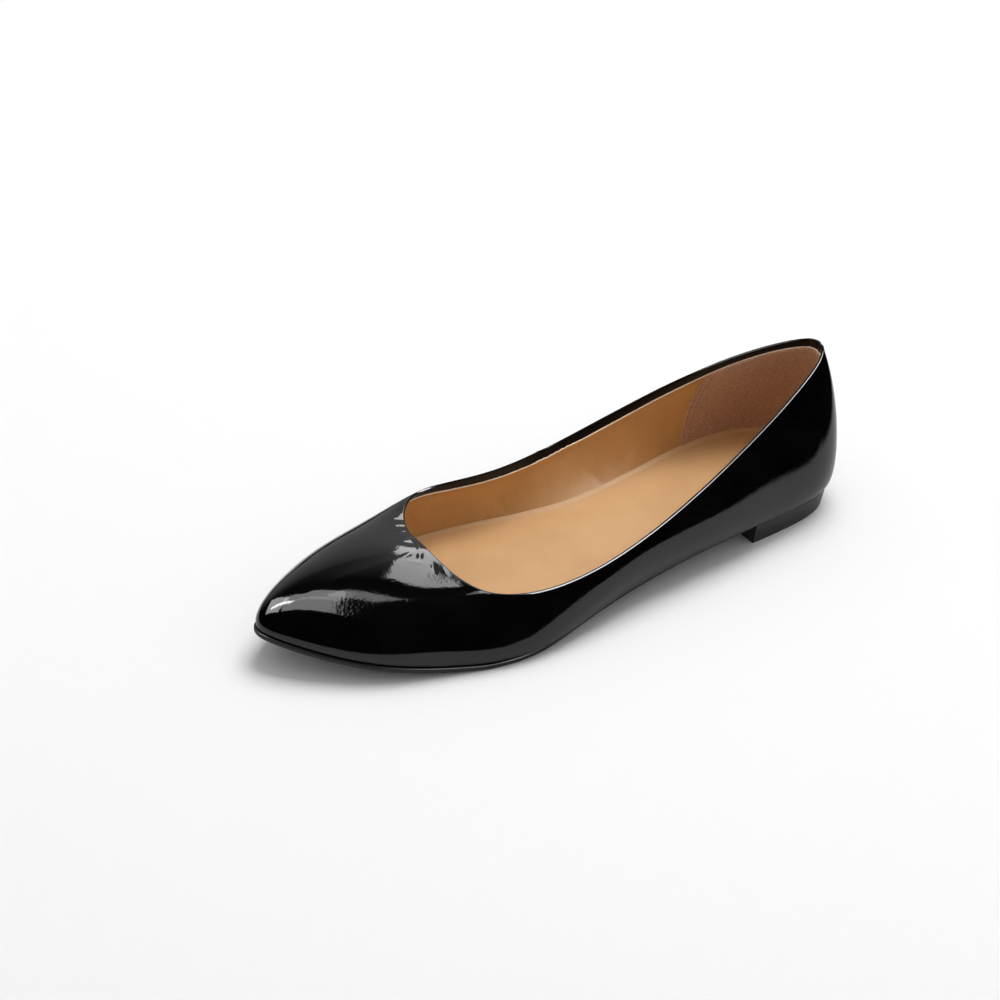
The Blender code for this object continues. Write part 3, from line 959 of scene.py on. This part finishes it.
@dataclass
class Lining:
    """Tan leather lining, glued inside the wall, with its raw edge under the topline."""

    upper: Upper
    top_depth: float = 3.9 * MM
    proud: float = 0.60 * MM
    settles: float = 4.0 * MM
    unevenness: float = 0.07 * MM
    frayed: float = 0.55 * MM
    frayed_at: float = 281.0
    frayed_spread: float = 3.6
    ripples: tuple[int, ...] = (23, 61, 149)
    glue: float = 0.02 * MM
    lap: float = 0.5 * MM
    raw_sink: float = 0.10 * MM
    raw_proud: float = 0.12 * MM
    raw_round: float = 0.05 * MM
    raw_corner: float = 0.10 * MM
    raw_height: float = 0.35 * MM
    rows: int = 60
    spacing: float = 1.3
    sinks: float = 0.10

    def edge_depth(self) -> np.ndarray:
        """Depth of the raw edge for each column: a little uneven, and torn beside the inner seam."""
        angles = self.upper.last.angles
        degrees = np.degrees(angles)
        near = np.exp(-(((degrees - self.frayed_at) / self.frayed_spread) ** 2))
        ripple = sum(np.sin(angles * turns + turns) for turns in self.ripples) / len(self.ripples)
        torn = near * self.frayed * (0.7 + 0.3 * np.sin(5.1 * degrees))
        return self.top_depth + self.unevenness * ripple - torn

    def inward(self, below: np.ndarray | float) -> np.ndarray:
        """Inward distance of the lining's face, by the depth below its edge: it is thicker at the top."""
        settled = smooth_step(0.0, self.settles, below)
        return self.upper.last.sizes.wall + self.proud * (1 - settled)

    def build(self) -> bpy.types.Object:
        """The lining as one closed shell, with its raw edge in a finish of its own."""
        wall = Wall(self.upper.last, CREASES + LINING_FOLDS, self.upper.shift)
        back = self.upper.edge_thickness + self.glue
        band = self.upper.band_inward
        face = self.upper.last.sizes.wall + self.proud
        top = self.edge_depth()
        low = wall.reach() * (1 - self.sinks)
        glued = top + self.lap
        rings = [wall.ring_at(low + (glued - low) * k / self.rows, back) for k in range(self.rows + 1)]
        raw_from = len(rings) - 1
        rings.append(wall.ring_at(top + self.glue, band - self.raw_sink))
        rings.append(wall.ring_at(top, band + self.raw_proud))
        rings.append(wall.ring_at(top + self.raw_corner, face - self.raw_round))
        rings.append(wall.ring_at(top + self.raw_height, face))
        raw_to = len(rings) - 1
        start = top + self.raw_height
        for k in range(1, self.rows + 1):
            depth = start + (low - start) * (k / self.rows) ** self.spacing
            rings.append(wall.ring_at(depth, self.inward(depth - start)))
        rings.append(rings[0])
        bm = lay_sheet(np.array(rings))
        finish_rows(bm, len(rings), raw_from, raw_to, 1)
        leather = SmoothLeather(
            name="lining_leather",
            light=(0.600, 0.305, 0.098),
            dark=(0.540, 0.262, 0.076),
            roughness=0.45,
            wrinkle=0.10 * MM,
        )
        raw = SmoothLeather("raw_edge", light=(0.95, 0.76, 0.56), dark=(0.84, 0.62, 0.42), roughness=0.8)
        materials = [finish.material(self.upper.effects) for finish in (leather, raw)]
        piece = make_piece(bm, "lining", materials)
        hand_over(piece, "insole_leather")
        return piece


@dataclass(frozen=True)
class Stitch:
    """A stitch as a small plump bead of thread, and the row that it makes."""

    pitch: float
    length: float
    radius: float

    def sew(self, bm: bmesh.types.BMesh, route: np.ndarray) -> None:
        """Adds stitches along a route.

        Args:
            bm: the bmesh that they go into.
            route: points along the route.
        """
        steps = np.linalg.norm(np.diff(route, axis=0), axis=1)
        along = np.concatenate([[0.0], np.cumsum(steps)])
        for start in np.arange(0.5 * self.pitch, along[-1] - self.pitch, self.pitch):
            ends = [start, start + self.length]
            first, second = [Vector([np.interp(e, along, route[:, i]) for i in range(3)]) for e in ends]
            self.add(bm, first, second)

    def add(self, bm: bmesh.types.BMesh, first: Vector, second: Vector) -> None:
        """Adds one stitch.

        Args:
            bm: the bmesh that it goes into.
            first: where it starts.
            second: where it ends.
        """
        way = second - first
        turn = Vector((0, 0, 1)).rotation_difference(way).to_matrix().to_4x4()
        size = Matrix.Diagonal((self.radius, self.radius, way.length / 2, 1.0))
        place = Matrix.Translation((first + second) / 2) @ turn @ size
        bmesh.ops.create_uvsphere(bm, u_segments=8, v_segments=6, radius=1.0, matrix=place)


@dataclass
class HeelGrip:
    """Suede patch round the back of the lining, stitched along its front edges and over its top edge."""

    upper: Upper
    lining: Lining
    thickness: float = 0.40 * MM
    top_depth: float = 4.15 * MM
    top_angle: float = 45.5
    low_angle: float = 50.0
    bulge: float = 1.2
    sinks: float = 0.07
    sunk: float = 0.1 * MM
    rim: float = 0.6 * MM
    rim_rows: int = 6
    measured_at: float = 0.3
    columns: int = 200
    rows: int = 60
    seam_insets: tuple[float, float] = (0.9, 2.6)
    seam_span: tuple[float, float] = (0.01, 0.99)
    seam_points: int = 120
    seam_sinks: float = 0.06 * MM
    overcast_inset: float = 0.8
    overcast_points: int = 150
    overcast_over: float = 0.20 * MM
    overcast_proud: float = 0.02 * MM

    def half_angle(self, share: float) -> float:
        """Angle from the back seam to the front edge, at a share of the way down, in degrees."""
        straight = self.top_angle + (self.low_angle - self.top_angle) * share
        return straight + self.bulge * math.sin(math.pi * share)

    def height(self) -> float:
        """Length of the patch down the back seam."""
        return self.upper.wall.reach()[0] * (1 - self.sinks) - self.top_depth

    def sample(self, angles: np.ndarray, share: float, raised: np.ndarray) -> np.ndarray:
        """Points on the lining at angles round it, a share of the way down the patch.

        Args:
            angles: angles round the last, from the back seam.
            share: how far down the patch.
            raised: height of each point over the lining.

        Returns:
            One point for each angle.
        """
        wall = self.upper.wall
        low = wall.reach() * (1 - self.sinks)
        depth = self.top_depth + (low - self.top_depth) * share
        ring = wall.ring_at(depth, self.lining.inward(depth - self.lining.top_depth))
        columns = np.mod(angles, TURN) / TURN * (len(ring) - 1)
        lower = np.clip(columns.astype(int), 0, len(ring) - 2)
        part = (columns - lower)[:, None]
        place = ring[lower] * (1 - part) + ring[lower + 1] * part
        return place - wall.read(depth)[1][lower] * raised[:, None]

    def build(self) -> bpy.types.Object:
        """The patch as one closed pad, whose front runs down to the lining all round its rim."""
        high = self.height()
        ends = self.sample(np.radians([0.0, self.top_angle]), self.measured_at, np.zeros(2))
        half_width = np.linalg.norm(ends[1] - ends[0])
        steps = np.linspace(0, 1, self.rim_rows)[:-1] * self.rim
        shares = np.concatenate([steps / high, np.linspace(self.rim / high, 1.0, self.rows)])
        edge = steps / half_width
        level = np.linspace(edge[-1] - 1, 1 - edge[-1], self.columns)[1:-1]
        spread = np.concatenate([edge - 1, level, 1 - edge[::-1]])
        rows = []
        for share in shares:
            angles = spread * math.radians(self.half_angle(share))
            rim = np.minimum((1 - np.abs(spread)) * half_width, share * high) / self.rim
            rim = np.clip(rim, 0.0, 1.0)
            raised = (self.thickness + self.sunk) * np.sqrt(1 - (1 - rim) ** 2) - self.sunk
            front = self.sample(angles, share, raised)
            back = self.sample(angles, share, np.full(len(spread), -self.sunk))[::-1]
            rows.append(np.concatenate([front, back, front[:1]]))
        bm = lay_sheet(np.array(rows))
        close_ends(bm)
        piece = make_piece(bm, "heel_grip", [Suede().material(self.upper.effects)])
        hand_over(piece, "insole_leather")
        return piece

    def build_stitches(self) -> bpy.types.Object:
        """Two rows of stitches, one up each front edge, as one mesh."""
        stitch = Stitch(pitch=1.4 * MM, length=0.75 * MM, radius=0.20 * MM)
        raised = np.array([self.thickness - self.seam_sinks])
        bm = bmesh.new()
        for side in Side:
            for inset in self.seam_insets:
                route = []
                for share in np.linspace(*self.seam_span, self.seam_points):
                    half = math.radians(self.half_angle(share) - inset)
                    route.append(self.sample(np.array([side.value * half]), share, raised)[0])
                stitch.sew(bm, np.array(route))
        piece = make_piece(bm, "grip_stitches", [Thread("thread").material(self.upper.effects)])
        hand_over(piece, "insole_leather")
        return piece

    def build_overcast(self) -> bpy.types.Object:
        """Short upright stitches over the top edge of the patch, as one mesh."""
        stitch = Stitch(pitch=1.2 * MM, length=1.5 * MM, radius=0.18 * MM)
        half = self.top_angle - self.overcast_inset
        angles = np.radians(np.linspace(-half, half, self.overcast_points))
        places = (
            (-self.overcast_over, self.overcast_over),
            (stitch.length, self.thickness + self.overcast_proud),
        )
        ends = []
        for drop, raised in places:
            ends.append(self.sample(angles, drop / self.height(), np.full(len(angles), raised)))
        steps = np.linalg.norm(np.diff(ends[0], axis=0), axis=1)
        along = np.concatenate([[0.0], np.cumsum(steps)])
        bm = bmesh.new()
        for at in np.arange(stitch.pitch, along[-1], stitch.pitch):
            first, second = [Vector([np.interp(at, along, end[:, i]) for i in range(3)]) for end in ends]
            stitch.add(bm, first, second)
        finish = Thread("overcast_thread", (0.58, 0.40, 0.29))
        piece = make_piece(bm, "grip_overcast", [finish.material(self.upper.effects)])
        hand_over(piece, "insole_leather")
        return piece


@dataclass
class Insole:
    """Padded sock on the insole board, seen through the collar."""

    last: Last
    shift: np.ndarray
    effects: Effects
    across: int = 72
    edge_gap: float = 0.15 * MM
    most_gap: float = 0.4
    narrowest: float = 0.001 * MM
    crown: float = 0.5 * MM
    crown_width: float = 22.0 * MM
    curl: float = 0.7 * MM
    curl_width: float = 3.0 * MM

    def underside(self) -> float:
        """Height of the insole's underside over the bottom of the last."""
        return 2 * self.last.sizes.clearance + self.last.sizes.wall

    def share_along(self, plan: np.ndarray) -> np.ndarray:
        """Share of the last's length at plan points."""
        return (self.shift[1] - plan[:, 1]) / self.last.sizes.length

    def rise(self, at: np.ndarray, near: np.ndarray) -> np.ndarray:
        """Height of the sock's face over the bottom of the last.

        Args:
            at: shares of the last's length.
            near: distances from the sock's edge.

        Returns:
            The heights, with the seat's padding, the crown and the curl of the edge.
        """
        sizes = self.last.sizes
        level = self.underside() + sizes.insole_thickness - 0.5 * self.curl
        padding = sizes.seat_pad * self.last.share_of_bottom("seat", at)
        crown = self.crown * smooth_step(0.0, self.crown_width, near)
        return level + padding + crown + self.curl * (1 - smooth_step(0.0, self.curl_width, near))

    def edge_plan(self, wall: Wall, rise: float | np.ndarray) -> np.ndarray:
        """Plan points on the inside of the wall.

        Args:
            wall: the upper's wall.
            rise: height of the points over the bottom of the last.

        Returns:
            One point in plan for each column of the wall.
        """
        floor = self.last.bottom_height(self.last.at) + rise
        inner = wall.points - wall.normals * self.last.sizes.wall
        found = np.zeros((inner.shape[1], 2))
        half = inner.shape[0] // 2
        for i in range(inner.shape[1]):
            heights = inner[half:, i, 2][::-1]
            for axis in range(2):
                found[i, axis] = np.interp(floor[i], heights, inner[half:, i, axis][::-1])
        return found

    def build(self, wall: Wall) -> bpy.types.Object:
        """The sock as one closed pad, crowned, and curled up a little where it meets the lining."""
        sizes = self.last.sizes
        padding = sizes.seat_pad * self.last.share_of_bottom("seat", self.last.at)
        edge = self.edge_plan(wall, self.underside() + sizes.insole_thickness + padding)
        foot = self.edge_plan(wall, self.underside())
        shares = 0.5 - 0.5 * np.cos(np.pi * np.arange(self.across + 1) / self.across)
        rows = []
        for k in range((len(edge) + 1) // 2):
            left, right = edge[k], edge[-1 - k]
            width = max(np.linalg.norm(right - left), self.narrowest)
            gap = min(self.edge_gap / width, self.most_gap)
            spread = gap + (1 - 2 * gap) * shares
            plan = left + (right - left) * spread[:, None]
            below = foot[k] + (foot[-1 - k] - foot[k]) * spread[:, None]
            at = self.share_along(plan)
            near = np.minimum(spread, 1 - spread) * width
            top = np.column_stack([plan, self.last.bottom_height(at) + self.rise(at, near)])
            base = self.last.bottom_height(self.share_along(below)) + self.underside()
            under = np.column_stack([below, base])[::-1]
            rows.append(np.concatenate([top, under, top[:1]]))
        sock = SmoothLeather(
            "sock_leather", light=(0.655, 0.376, 0.162), dark=(0.605, 0.338, 0.139), roughness=0.45
        )
        piece = make_piece(lay_sheet(np.array(rows)), "sock", [sock.material(self.effects)])
        hand_over(piece, "insole_leather", "insole")
        return piece


@dataclass
class Outsole:
    """Thin outsole, from the heel's breast to the tip of the toe."""

    last: Last
    shift: np.ndarray
    effects: Effects
    edge_round: float = 0.8 * MM
    edge_rows: int = 5
    across: int = 11

    def edge_profile(self) -> list[tuple[float, float]]:
        """Inset and height of points round the edge, from the underside to the top."""
        radius = self.edge_round
        profile = []
        for centre, start in ((radius, -90.0), (self.last.sizes.sole_thickness - radius, 0.0)):
            for k in range(self.edge_rows + 1):
                angle = math.radians(start + 90.0 * k / self.edge_rows)
                profile.append((radius - radius * math.cos(angle), centre + radius * math.sin(angle)))
        return profile

    def rows_across(self, rings: list[np.ndarray], first: int) -> np.ndarray:
        """Closed rows of points across the plate.

        Args:
            rings: rings round the plate, from its underside to its top.
            first: index of the point that the plate starts at.

        Returns:
            Points as rows, columns and coordinates.
        """
        count = len(rings[0])
        shares = np.linspace(0.0, 1.0, self.across + 2)[1:-1]
        rows = []
        for k in range(first, (count + 1) // 2):
            left = [ring[k] for ring in rings]
            right = [ring[count - 1 - k] for ring in rings]
            under = [right[0] + (left[0] - right[0]) * share for share in shares]
            over = [left[-1] + (right[-1] - left[-1]) * share for share in shares]
            rows.append(np.array(under + left + over + right[::-1] + under[:1]) + self.shift)
        return np.array(rows)

    def build(self) -> bpy.types.Object:
        """The plate with its rounded edge, cut off straight at the breast."""
        last, sizes = self.last, self.last.sizes
        plan = last.feather + last.outward * last.edge[:, None]
        start = sizes.heel_breast + sizes.clearance
        first = int(np.argmax(last.at * sizes.length > start))
        rings = []
        for inset, height in self.edge_profile():
            moved = last.inset(plan, inset)
            moved[[first, -1 - first], 1] = -start
            rings.append(last.lifted(moved, np.full(len(moved), height - sizes.sole_thickness)))
        bm = lay_sheet(self.rows_across(rings, first))
        close_ends(bm)
        finish = Moulded("sole_rubber", (0.010, 0.010, 0.011), (0.016, 0.016, 0.017), roughness=0.28)
        piece = make_piece(bm, "outsole_plate", [finish.material(self.effects)])
        hand_over(piece, "sole_rubber", "outsole")
        return piece


@dataclass
class Heel:
    """Low heel block under the seat, with a straight breast."""

    last: Last
    shift: np.ndarray
    effects: Effects
    chamfer: float = 0.4 * MM
    top_round: float = 0.35 * MM
    bend: float = 0.12 * MM
    top_bend: float = 0.10 * MM
    bow: float = 1.3
    side_rows: int = 6

    def side_profile(self) -> list[tuple[float, float]]:
        """Inset and height of points up the side, from the tread to the seat."""
        sizes = self.last.sizes
        high = sizes.heel_height - self.top_round - self.chamfer
        profile = [(self.chamfer + sizes.heel_taper, 0.0), (self.bend + sizes.heel_taper, self.bend)]
        for k in range(self.side_rows + 1):
            share = k / self.side_rows
            profile.append((sizes.heel_taper * (1 - share) ** self.bow, self.chamfer + high * share))
        profile.append((self.bend, sizes.heel_height - self.top_bend))
        profile.append((self.top_round, sizes.heel_height))
        return profile

    def build(self) -> bpy.types.Object:
        """The block, as rings from its tread up to the seat, cut off straight at the breast."""
        last, sizes = self.last, self.last.sizes
        seat = int(np.argmax(last.at * sizes.length > sizes.heel_breast))
        order = [i % (len(last.at) - 1) for i in range(-seat, seat + 1)]
        outline = last.inset(last.feather, sizes.heel_inset)
        rings = []
        for inset, height in self.side_profile():
            plan = last.inset(outline, inset)[order]
            plan[[0, -1], 1] = -sizes.heel_breast
            points = np.column_stack([plan, np.full(len(plan), height)]) + self.shift
            rings.append(np.concatenate([points, points[:1]]))
        bm = lay_sheet(np.array(rings))
        close_ends(bm)
        finish = Moulded("heel_block", (0.012, 0.012, 0.013), (0.018, 0.018, 0.019), roughness=0.34)
        piece = make_piece(bm, "heel_block", [finish.material(self.effects)])
        hand_over(piece, "heel_block", "heel")
        return piece


def direction(azimuth: float, elevation: float) -> Vector:
    """Direction as seen from the shoe.

    Args:
        azimuth: angle round the shoe in degrees, 0 ahead of the toe and 90 at its outer side.
        elevation: angle over the floor in degrees.

    Returns:
        A vector of length 1.
    """
    turn, rise = math.radians(azimuth), math.radians(elevation)
    return Vector((math.sin(turn) * math.cos(rise), -math.cos(turn) * math.cos(rise), math.sin(rise)))


@dataclass(frozen=True)
class SoftBox:
    """A long flat lamp that spans two directions as seen from the shoe.

    start and end are azimuth and elevation of its two ends, breadth its angle across, all in degrees.
    A mirrored box shows in the gloss alone, and the others light the scene without showing in it.
    """

    name: str
    start: tuple[float, float]
    end: tuple[float, float]
    breadth: float
    radiance: float
    mirrored: bool = True
    distance: float = 8.0

    def add(self, target: Vector) -> None:
        """Adds the lamp, facing the target."""
        start, end = direction(*self.start), direction(*self.end)
        back = (start + end).normalized()
        along = (end - start).normalized()
        across = along.cross(back)
        lamp = bpy.data.lights.new(self.name, "AREA")
        lamp.shape = "RECTANGLE"
        lamp.size = 2 * self.distance * math.tan(math.radians(self.breadth) / 2)
        lamp.size_y = 2 * self.distance * math.tan(start.angle(end) / 2)
        lamp.energy = self.radiance * math.pi * lamp.size * lamp.size_y
        holder = bpy.data.objects.new(self.name, lamp)
        holder.location = target + back * self.distance
        holder.rotation_euler = Matrix((across, along, back)).transposed().to_euler()
        holder.visible_diffuse = not self.mirrored
        holder.visible_glossy = self.mirrored
        bpy.context.scene.collection.objects.link(holder)


@dataclass
class Studio:
    """Pale floor, soft lamps, and the camera at the photograph's angle to the shoe."""

    target: Vector = field(default_factory=lambda: Vector((-0.00135, -0.0011, 0.020)))
    azimuth: float = 52.7
    elevation: float = 33.0
    distance: float = 2.5
    pixels_per_metre: float = 2515.0
    roll: float = 3.0
    target_pixel: tuple[float, float] = (551.4, 532.0)
    frame_pixels: float = 1000.0
    sensor: float = 36.0
    clip_end: float = 20.0
    boxes: tuple[SoftBox, ...] = (
        SoftBox("key", (208.0, 50.0), (208.0, 86.0), 36.0, 5.65, mirrored=False, distance=2.0),
        SoftBox("strip_low", (303.0, 31.0), (318.0, 62.0), 27.0, 4.6),
        SoftBox("strip_top", (318.0, 62.0), (135.0, 86.0), 30.0, 2.9),
        SoftBox("strip_back", (214.0, 82.0), (206.0, 73.0), 5.0, 2.0),
        SoftBox("core_low", (312.0, 42.0), (305.0, 72.0), 5.0, 13.0, distance=7.5),
        SoftBox("core_top", (305.0, 72.0), (190.0, 84.0), 4.0, 1.2, distance=7.5),
        SoftBox("kicker", (214.5, 60.0), (225.0, 26.0), 5.2, 3.8),
        SoftBox("side_strip", (120.0, 34.0), (190.0, 58.0), 22.0, 16.0),
    )
    floor_reach: float = 6.0
    floor_color: Color = (0.86, 0.86, 0.86)
    # Painted dark reflection: the floor's colour in the shoe's gloss beyond the mirrored reach, in place of
    # dark cards.
    painted_dark_reflection_color: Color = (0.004, 0.004, 0.004)
    backdrop: Color = (0.97, 0.97, 0.97)
    mirrored_floor: tuple[float, float] = (0.205, 0.33)
    mirrored_edge: tuple[float, float] = (0.9, 1.1)
    mirrored_ahead: float = 0.07
    mirrored_share: float = 0.62
    ambient: float = 0.55
    mirrored_room: float = 0.004
    sheen: float = 0.50
    sheen_from: tuple[float, float] = (240.0, 15.0)
    sheen_spread: tuple[float, float] = (50.0, 10.0)

    def build(self) -> None:
        """Sets up floor, world, lamps and camera."""
        self.add_floor()
        self.set_world()
        for box in self.boxes:
            box.add(self.target)
        self.add_camera()
        bpy.context.scene.view_settings.view_transform = "Standard"

    def add_floor(self) -> None:
        """Adds the floor, which isn't part of the shoe."""
        bm = bmesh.new()
        bmesh.ops.create_grid(bm, x_segments=1, y_segments=1, size=self.floor_reach)
        mesh = bpy.data.meshes.new("floor")
        bm.to_mesh(mesh)
        bm.free()
        shader = Shader("floor_paper")
        shader.set(Base_Color=(*self.floor_color, 1.0), Roughness=0.9, Specular_IOR_Level=0.1)
        self.darken_mirrored_floor(shader)
        mesh.materials.append(shader.material)
        floor = bpy.data.objects.new("floor", mesh)
        bpy.context.scene.collection.objects.link(floor)

    def darken_mirrored_floor(self, shader: Shader) -> None:
        """Paints the floor dark where the shoe's gloss mirrors it beyond a reach round the shoe, a painted
        dark reflection in place of dark cards round the table; nearer, the gloss mirrors the floor as it
        is.
        """
        ahead = shader.add("ShaderNodeVectorMath", operation="ADD")
        ahead.inputs[1].default_value = (0.0, self.mirrored_ahead, 0.0)
        scaled = shader.add("ShaderNodeVectorMath", operation="DIVIDE")
        scaled.inputs[1].default_value = (*self.mirrored_floor, 1.0)
        reach = shader.add("ShaderNodeVectorMath", operation="LENGTH")
        fade = shader.add("ShaderNodeMapRange", interpolation_type="SMOOTHSTEP")
        fade.inputs["From Min"].default_value = self.mirrored_edge[0]
        fade.inputs["From Max"].default_value = self.mirrored_edge[1]
        fade.inputs["To Min"].default_value = 1 - self.mirrored_share
        seen = shader.add("ShaderNodeLightPath")
        both = shader.add("ShaderNodeMath", operation="MULTIPLY")
        # Black sheet that the gloss sees instead of the floor: painted dark reflection.
        dark = shader.add("ShaderNodeBsdfDiffuse")
        dark.inputs["Color"].default_value = (*self.painted_dark_reflection_color, 1.0)
        mixer = shader.add("ShaderNodeMixShader")
        links = shader.links
        links.new(shader.place(), ahead.inputs[0])
        links.new(ahead.outputs["Vector"], scaled.inputs[0])
        links.new(scaled.outputs["Vector"], reach.inputs[0])
        links.new(reach.outputs["Value"], fade.inputs["Value"])
        links.new(fade.outputs["Result"], both.inputs[0])
        links.new(seen.outputs["Is Glossy Ray"], both.inputs[1])
        links.new(both.outputs["Value"], mixer.inputs["Fac"])
        links.new(shader.surface.outputs["BSDF"], mixer.inputs[1])
        links.new(dark.outputs["BSDF"], mixer.inputs[2])
        links.new(mixer.outputs["Shader"], shader.nodes["Material Output"].inputs["Surface"])

    def set_world(self) -> None:
        """Lays a room that is pale to the eye, and dark in the gloss but for a soft sheen."""
        world = bpy.data.worlds.new("room")
        bpy.context.scene.world = world
        world.use_nodes = True
        nodes, links = world.node_tree.nodes, world.node_tree.links
        pale = nodes["Background"]
        pale.inputs["Color"].default_value = (1.0, 1.0, 1.0, 1.0)
        pale.inputs["Strength"].default_value = self.ambient
        place = nodes.new("ShaderNodeTexCoord")
        facing = nodes.new("ShaderNodeVectorMath")
        facing.operation = "DOT_PRODUCT"
        facing.inputs[1].default_value = direction(*self.sheen_from)
        glow = nodes.new("ShaderNodeMapRange")
        glow.interpolation_type = "SMOOTHSTEP"
        glow.inputs["From Min"].default_value = math.cos(math.radians(self.sheen_spread[0]))
        glow.inputs["From Max"].default_value = math.cos(math.radians(self.sheen_spread[1]))
        glow.inputs["To Min"].default_value = self.mirrored_room
        glow.inputs["To Max"].default_value = self.sheen
        gloss = nodes.new("ShaderNodeBackground")
        backdrop = nodes.new("ShaderNodeBackground")
        backdrop.inputs["Color"].default_value = (*self.backdrop, 1.0)
        seen = nodes.new("ShaderNodeLightPath")
        in_gloss = nodes.new("ShaderNodeMixShader")
        to_eye = nodes.new("ShaderNodeMixShader")
        links.new(place.outputs["Generated"], facing.inputs[0])
        links.new(facing.outputs["Value"], glow.inputs["Value"])
        links.new(glow.outputs["Result"], gloss.inputs["Strength"])
        links.new(seen.outputs["Is Glossy Ray"], in_gloss.inputs["Fac"])
        links.new(pale.outputs["Background"], in_gloss.inputs[1])
        links.new(gloss.outputs["Background"], in_gloss.inputs[2])
        links.new(seen.outputs["Is Camera Ray"], to_eye.inputs["Fac"])
        links.new(in_gloss.outputs["Shader"], to_eye.inputs[1])
        links.new(backdrop.outputs["Background"], to_eye.inputs[2])
        links.new(to_eye.outputs["Shader"], nodes["World Output"].inputs["Surface"])

    def add_camera(self) -> None:
        """Adds the camera, rolled and shifted so that the shoe stands where it does in the photograph."""
        back = direction(self.azimuth, self.elevation)
        lens = bpy.data.cameras.new("camera")
        lens.sensor_width = self.sensor
        lens.lens = self.pixels_per_metre * self.distance / self.frame_pixels * self.sensor
        lens.shift_x = (self.frame_pixels / 2 - self.target_pixel[0]) / self.frame_pixels
        lens.shift_y = (self.target_pixel[1] - self.frame_pixels / 2) / self.frame_pixels
        lens.clip_end = self.clip_end
        camera = bpy.data.objects.new("camera", lens)
        camera.location = self.target + back * self.distance
        straight = back.to_track_quat("Z", "Y")
        roll = Quaternion((0.0, 0.0, 1.0), math.radians(self.roll))
        camera.rotation_euler = (straight @ roll).to_euler()
        bpy.context.scene.collection.objects.link(camera)
        bpy.context.scene.camera = camera


def find_shift(sizes: LastSizes) -> np.ndarray:
    """Compares the last with the box of the upper's solid.

    Args:
        sizes: sizes of the last.

    Returns:
        Offset from the last's own coordinates to the frame's.
    """
    last = Last(sizes, ring_angles(SOLID_COLUMNS)[:-1])
    points = np.concatenate([last.side(share) for share in SOLID_SHARES])
    low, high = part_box("upper")
    shift = (np.array(low) - points.min(axis=0) + np.array(high) - points.max(axis=0)) / 2
    shift[2] = 0.0
    return shift


def main() -> None:
    """Builds the shoe piece by piece, and the studio round it."""
    logging.basicConfig(level=logging.INFO, format="%(name)s %(message)s")
    sizes = LastSizes()
    shift = find_shift(sizes)
    log.info("shift of the last: %s", shift)
    last = Last(sizes, ring_angles(COLUMNS))
    effects = Effects()
    Studio().build()
    upper = Upper(last, shift, effects)
    upper.build()
    lining = Lining(upper)
    lining.build()
    grip = HeelGrip(upper, lining)
    grip.build()
    grip.build_stitches()
    grip.build_overcast()
    Insole(last, shift, effects).build(upper.wall)
    Outsole(last, shift, effects).build()
    Heel(last, shift, effects).build()


if __name__ == "__main__":
    main()
